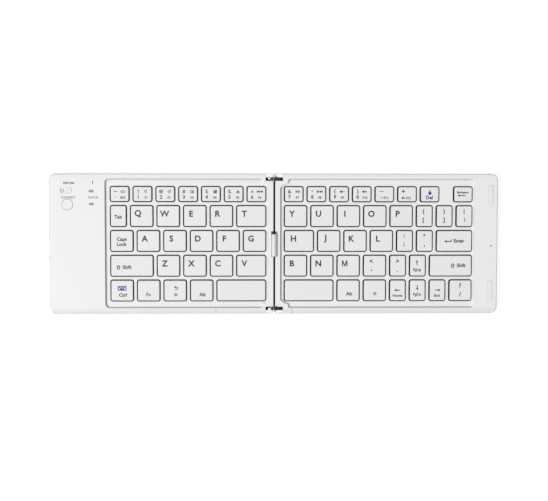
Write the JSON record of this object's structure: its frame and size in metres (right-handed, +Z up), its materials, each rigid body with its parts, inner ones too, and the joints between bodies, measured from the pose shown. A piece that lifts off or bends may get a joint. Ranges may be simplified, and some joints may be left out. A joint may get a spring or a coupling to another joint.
{
  "type": "folding keyboard",
  "caption": "White wireless keyboard in two halves that fold face to face on a centre hinge, with key caps that travel, a slide switch and a push button.",
  "frame": {"origin": "on the table under the fold line, in the middle of the open keyboard's footprint", "axes": "+X along the width to the half without the switch, +Y to the rear edge with the number row, +Z up"},
  "size_m": [0.305, 0.0954, 0.0093],
  "materials": {
    "white_shell": "fine satin texture",
    "key_cap": "smooth satin",
    "switch_plastic": "semi gloss",
    "barrel_plastic": "semi gloss",
    "lamp_window": "clear to milky",
    "bumper_pad": "matt",
    "dome_rubber": "matt",
    "scissor_plastic": "smooth",
    "steel_plate": "rolled",
    "circuit_film": "printed film",
    "hinge_steel": "black nickel, shiny",
    "screw_steel": "nickel plated",
    "foot_rubber": "matt",
    "board_green": "solder mask",
    "battery_pouch": "foil pouch",
    "port_shell": "plated"
  },
  "bodies": {
    "left_half": {"left_base": "white_shell", "left_cover": "white_shell", "left_key_plate": "steel_plate", "left_membrane": "circuit_film", "left_domes": "dome_rubber", "left_scissors": "scissor_plastic", "left_hinge_leaves": "hinge_steel", "left_feet": "foot_rubber", "left_screws": "screw_steel", "control_board": "board_green", "battery": "battery_pouch", "charge_port": "port_shell", "lamp_windows": "lamp_window", "hinge_pins": "hinge_steel", "hinge_barrel": "barrel_plastic"},
    "right_half": {"right_base": "white_shell", "right_cover": "white_shell", "right_key_plate": "steel_plate", "right_membrane": "circuit_film", "right_domes": "dome_rubber", "right_scissors": "scissor_plastic", "right_hinge_leaves": "hinge_steel", "right_feet": "foot_rubber", "right_screws": "screw_steel", "closing_bumpers": "bumper_pad"},
    "power_switch": {"power_switch": "switch_plastic"},
    "connect_button": {"connect_button": "switch_plastic"},
    "left_space_key": {"left_space_key": "key_cap"},
    "right_space_key": {"right_space_key": "key_cap"},
    "left_number_keys": {"left_number_keys": "key_cap"},
    "right_number_keys": {"right_number_keys": "key_cap"},
    "left_modifier_keys": {"left_modifier_keys": "key_cap"},
    "right_modifier_keys": {"right_modifier_keys": "key_cap"},
    "symbol_and_arrow_keys": {"symbol_and_arrow_keys": "key_cap"},
    "key_q": {"key_q": "key_cap"},
    "key_w": {"key_w": "key_cap"},
    "key_e": {"key_e": "key_cap"},
    "key_r": {"key_r": "key_cap"},
    "key_t": {"key_t": "key_cap"},
    "key_a": {"key_a": "key_cap"},
    "key_s": {"key_s": "key_cap"},
    "key_d": {"key_d": "key_cap"},
    "key_f": {"key_f": "key_cap"},
    "key_g": {"key_g": "key_cap"},
    "key_z": {"key_z": "key_cap"},
    "key_x": {"key_x": "key_cap"},
    "key_c": {"key_c": "key_cap"},
    "key_v": {"key_v": "key_cap"},
    "key_y": {"key_y": "key_cap"},
    "key_u": {"key_u": "key_cap"},
    "key_i": {"key_i": "key_cap"},
    "key_o": {"key_o": "key_cap"},
    "key_p": {"key_p": "key_cap"},
    "key_h": {"key_h": "key_cap"},
    "key_j": {"key_j": "key_cap"},
    "key_k": {"key_k": "key_cap"},
    "key_l": {"key_l": "key_cap"},
    "key_b": {"key_b": "key_cap"},
    "key_n": {"key_n": "key_cap"},
    "key_m": {"key_m": "key_cap"}
  },
  "joints": [
    {"name": "fold", "type": "hinge", "parent": "left_half", "child": "right_half", "pos_m": [0, 0, 0.0075], "axis": [0, -1, 0], "range_deg": [0, 180]},
    {"name": "power_switch_slide", "type": "slide", "parent": "left_half", "child": "power_switch", "axis": [-1, 0, 0], "range_m": [0, 0.0028]},
    {"name": "connect_button_press", "type": "slide", "parent": "left_half", "child": "connect_button", "axis": [0, 0, -1], "range_m": [0, 0.0004], "stiffness_N_per_m": 1500, "springref_m": -0.0002},
    {"name": "left_space_key_press", "type": "slide", "parent": "left_half", "child": "left_space_key", "axis": [0, 0, -1], "range_m": [0, 0.0012], "stiffness_N_per_m": 350, "springref_m": -0.0004, "deforming": ["left_domes", "left_scissors"]},
    {"name": "right_space_key_press", "type": "slide", "parent": "right_half", "child": "right_space_key", "axis": [0, 0, -1], "range_m": [0, 0.0012], "stiffness_N_per_m": 350, "springref_m": -0.0004, "deforming": ["right_domes", "right_scissors"]},
    {"name": "left_number_keys_press", "type": "slide", "parent": "left_half", "child": "left_number_keys", "axis": [0, 0, -1], "range_m": [0, 0.0012], "stiffness_N_per_m": 2450, "springref_m": -0.0004, "deforming": ["left_domes", "left_scissors"]},
    {"name": "right_number_keys_press", "type": "slide", "parent": "right_half", "child": "right_number_keys", "axis": [0, 0, -1], "range_m": [0, 0.0012], "stiffness_N_per_m": 2800, "springref_m": -0.0004, "deforming": ["right_domes", "right_scissors"]},
    {"name": "left_modifier_keys_press", "type": "slide", "parent": "left_half", "child": "left_modifier_keys", "axis": [0, 0, -1], "range_m": [0, 0.0012], "stiffness_N_per_m": 2450, "springref_m": -0.0004, "deforming": ["left_domes", "left_scissors"]},
    {"name": "right_modifier_keys_press", "type": "slide", "parent": "right_half", "child": "right_modifier_keys", "axis": [0, 0, -1], "range_m": [0, 0.0012], "stiffness_N_per_m": 1400, "springref_m": -0.0004, "deforming": ["right_domes", "right_scissors"]},
    {"name": "symbol_and_arrow_keys_press", "type": "slide", "parent": "right_half", "child": "symbol_and_arrow_keys", "axis": [0, 0, -1], "range_m": [0, 0.0012], "stiffness_N_per_m": 4200, "springref_m": -0.0004, "deforming": ["right_domes", "right_scissors"]},
    {"name": "key_q_press", "type": "slide", "parent": "left_half", "child": "key_q", "axis": [0, 0, -1], "range_m": [0, 0.0012], "stiffness_N_per_m": 350, "springref_m": -0.0004, "deforming": ["left_domes", "left_scissors"]},
    {"name": "key_w_press", "type": "slide", "parent": "left_half", "child": "key_w", "axis": [0, 0, -1], "range_m": [0, 0.0012], "stiffness_N_per_m": 350, "springref_m": -0.0004, "deforming": ["left_domes", "left_scissors"]},
    {"name": "key_e_press", "type": "slide", "parent": "left_half", "child": "key_e", "axis": [0, 0, -1], "range_m": [0, 0.0012], "stiffness_N_per_m": 350, "springref_m": -0.0004, "deforming": ["left_domes", "left_scissors"]},
    {"name": "key_r_press", "type": "slide", "parent": "left_half", "child": "key_r", "axis": [0, 0, -1], "range_m": [0, 0.0012], "stiffness_N_per_m": 350, "springref_m": -0.0004, "deforming": ["left_domes", "left_scissors"]},
    {"name": "key_t_press", "type": "slide", "parent": "left_half", "child": "key_t", "axis": [0, 0, -1], "range_m": [0, 0.0012], "stiffness_N_per_m": 350, "springref_m": -0.0004, "deforming": ["left_domes", "left_scissors"]},
    {"name": "key_a_press", "type": "slide", "parent": "left_half", "child": "key_a", "axis": [0, 0, -1], "range_m": [0, 0.0012], "stiffness_N_per_m": 350, "springref_m": -0.0004, "deforming": ["left_domes", "left_scissors"]},
    {"name": "key_s_press", "type": "slide", "parent": "left_half", "child": "key_s", "axis": [0, 0, -1], "range_m": [0, 0.0012], "stiffness_N_per_m": 350, "springref_m": -0.0004, "deforming": ["left_domes", "left_scissors"]},
    {"name": "key_d_press", "type": "slide", "parent": "left_half", "child": "key_d", "axis": [0, 0, -1], "range_m": [0, 0.0012], "stiffness_N_per_m": 350, "springref_m": -0.0004, "deforming": ["left_domes", "left_scissors"]},
    {"name": "key_f_press", "type": "slide", "parent": "left_half", "child": "key_f", "axis": [0, 0, -1], "range_m": [0, 0.0012], "stiffness_N_per_m": 350, "springref_m": -0.0004, "deforming": ["left_domes", "left_scissors"]},
    {"name": "key_g_press", "type": "slide", "parent": "left_half", "child": "key_g", "axis": [0, 0, -1], "range_m": [0, 0.0012], "stiffness_N_per_m": 350, "springref_m": -0.0004, "deforming": ["left_domes", "left_scissors"]},
    {"name": "key_z_press", "type": "slide", "parent": "left_half", "child": "key_z", "axis": [0, 0, -1], "range_m": [0, 0.0012], "stiffness_N_per_m": 350, "springref_m": -0.0004, "deforming": ["left_domes", "left_scissors"]},
    {"name": "key_x_press", "type": "slide", "parent": "left_half", "child": "key_x", "axis": [0, 0, -1], "range_m": [0, 0.0012], "stiffness_N_per_m": 350, "springref_m": -0.0004, "deforming": ["left_domes", "left_scissors"]},
    {"name": "key_c_press", "type": "slide", "parent": "left_half", "child": "key_c", "axis": [0, 0, -1], "range_m": [0, 0.0012], "stiffness_N_per_m": 350, "springref_m": -0.0004, "deforming": ["left_domes", "left_scissors"]},
    {"name": "key_v_press", "type": "slide", "parent": "left_half", "child": "key_v", "axis": [0, 0, -1], "range_m": [0, 0.0012], "stiffness_N_per_m": 350, "springref_m": -0.0004, "deforming": ["left_domes", "left_scissors"]},
    {"name": "key_y_press", "type": "slide", "parent": "right_half", "child": "key_y", "axis": [0, 0, -1], "range_m": [0, 0.0012], "stiffness_N_per_m": 350, "springref_m": -0.0004, "deforming": ["right_domes", "right_scissors"]},
    {"name": "key_u_press", "type": "slide", "parent": "right_half", "child": "key_u", "axis": [0, 0, -1], "range_m": [0, 0.0012], "stiffness_N_per_m": 350, "springref_m": -0.0004, "deforming": ["right_domes", "right_scissors"]},
    {"name": "key_i_press", "type": "slide", "parent": "right_half", "child": "key_i", "axis": [0, 0, -1], "range_m": [0, 0.0012], "stiffness_N_per_m": 350, "springref_m": -0.0004, "deforming": ["right_domes", "right_scissors"]},
    {"name": "key_o_press", "type": "slide", "parent": "right_half", "child": "key_o", "axis": [0, 0, -1], "range_m": [0, 0.0012], "stiffness_N_per_m": 350, "springref_m": -0.0004, "deforming": ["right_domes", "right_scissors"]},
    {"name": "key_p_press", "type": "slide", "parent": "right_half", "child": "key_p", "axis": [0, 0, -1], "range_m": [0, 0.0012], "stiffness_N_per_m": 350, "springref_m": -0.0004, "deforming": ["right_domes", "right_scissors"]},
    {"name": "key_h_press", "type": "slide", "parent": "right_half", "child": "key_h", "axis": [0, 0, -1], "range_m": [0, 0.0012], "stiffness_N_per_m": 350, "springref_m": -0.0004, "deforming": ["right_domes", "right_scissors"]},
    {"name": "key_j_press", "type": "slide", "parent": "right_half", "child": "key_j", "axis": [0, 0, -1], "range_m": [0, 0.0012], "stiffness_N_per_m": 350, "springref_m": -0.0004, "deforming": ["right_domes", "right_scissors"]},
    {"name": "key_k_press", "type": "slide", "parent": "right_half", "child": "key_k", "axis": [0, 0, -1], "range_m": [0, 0.0012], "stiffness_N_per_m": 350, "springref_m": -0.0004, "deforming": ["right_domes", "right_scissors"]},
    {"name": "key_l_press", "type": "slide", "parent": "right_half", "child": "key_l", "axis": [0, 0, -1], "range_m": [0, 0.0012], "stiffness_N_per_m": 350, "springref_m": -0.0004, "deforming": ["right_domes", "right_scissors"]},
    {"name": "key_b_press", "type": "slide", "parent": "right_half", "child": "key_b", "axis": [0, 0, -1], "range_m": [0, 0.0012], "stiffness_N_per_m": 350, "springref_m": -0.0004, "deforming": ["right_domes", "right_scissors"]},
    {"name": "key_n_press", "type": "slide", "parent": "right_half", "child": "key_n", "axis": [0, 0, -1], "range_m": [0, 0.0012], "stiffness_N_per_m": 350, "springref_m": -0.0004, "deforming": ["right_domes", "right_scissors"]},
    {"name": "key_m_press", "type": "slide", "parent": "right_half", "child": "key_m", "axis": [0, 0, -1], "range_m": [0, 0.0012], "stiffness_N_per_m": 350, "springref_m": -0.0004, "deforming": ["right_domes", "right_scissors"]}
  ]
}
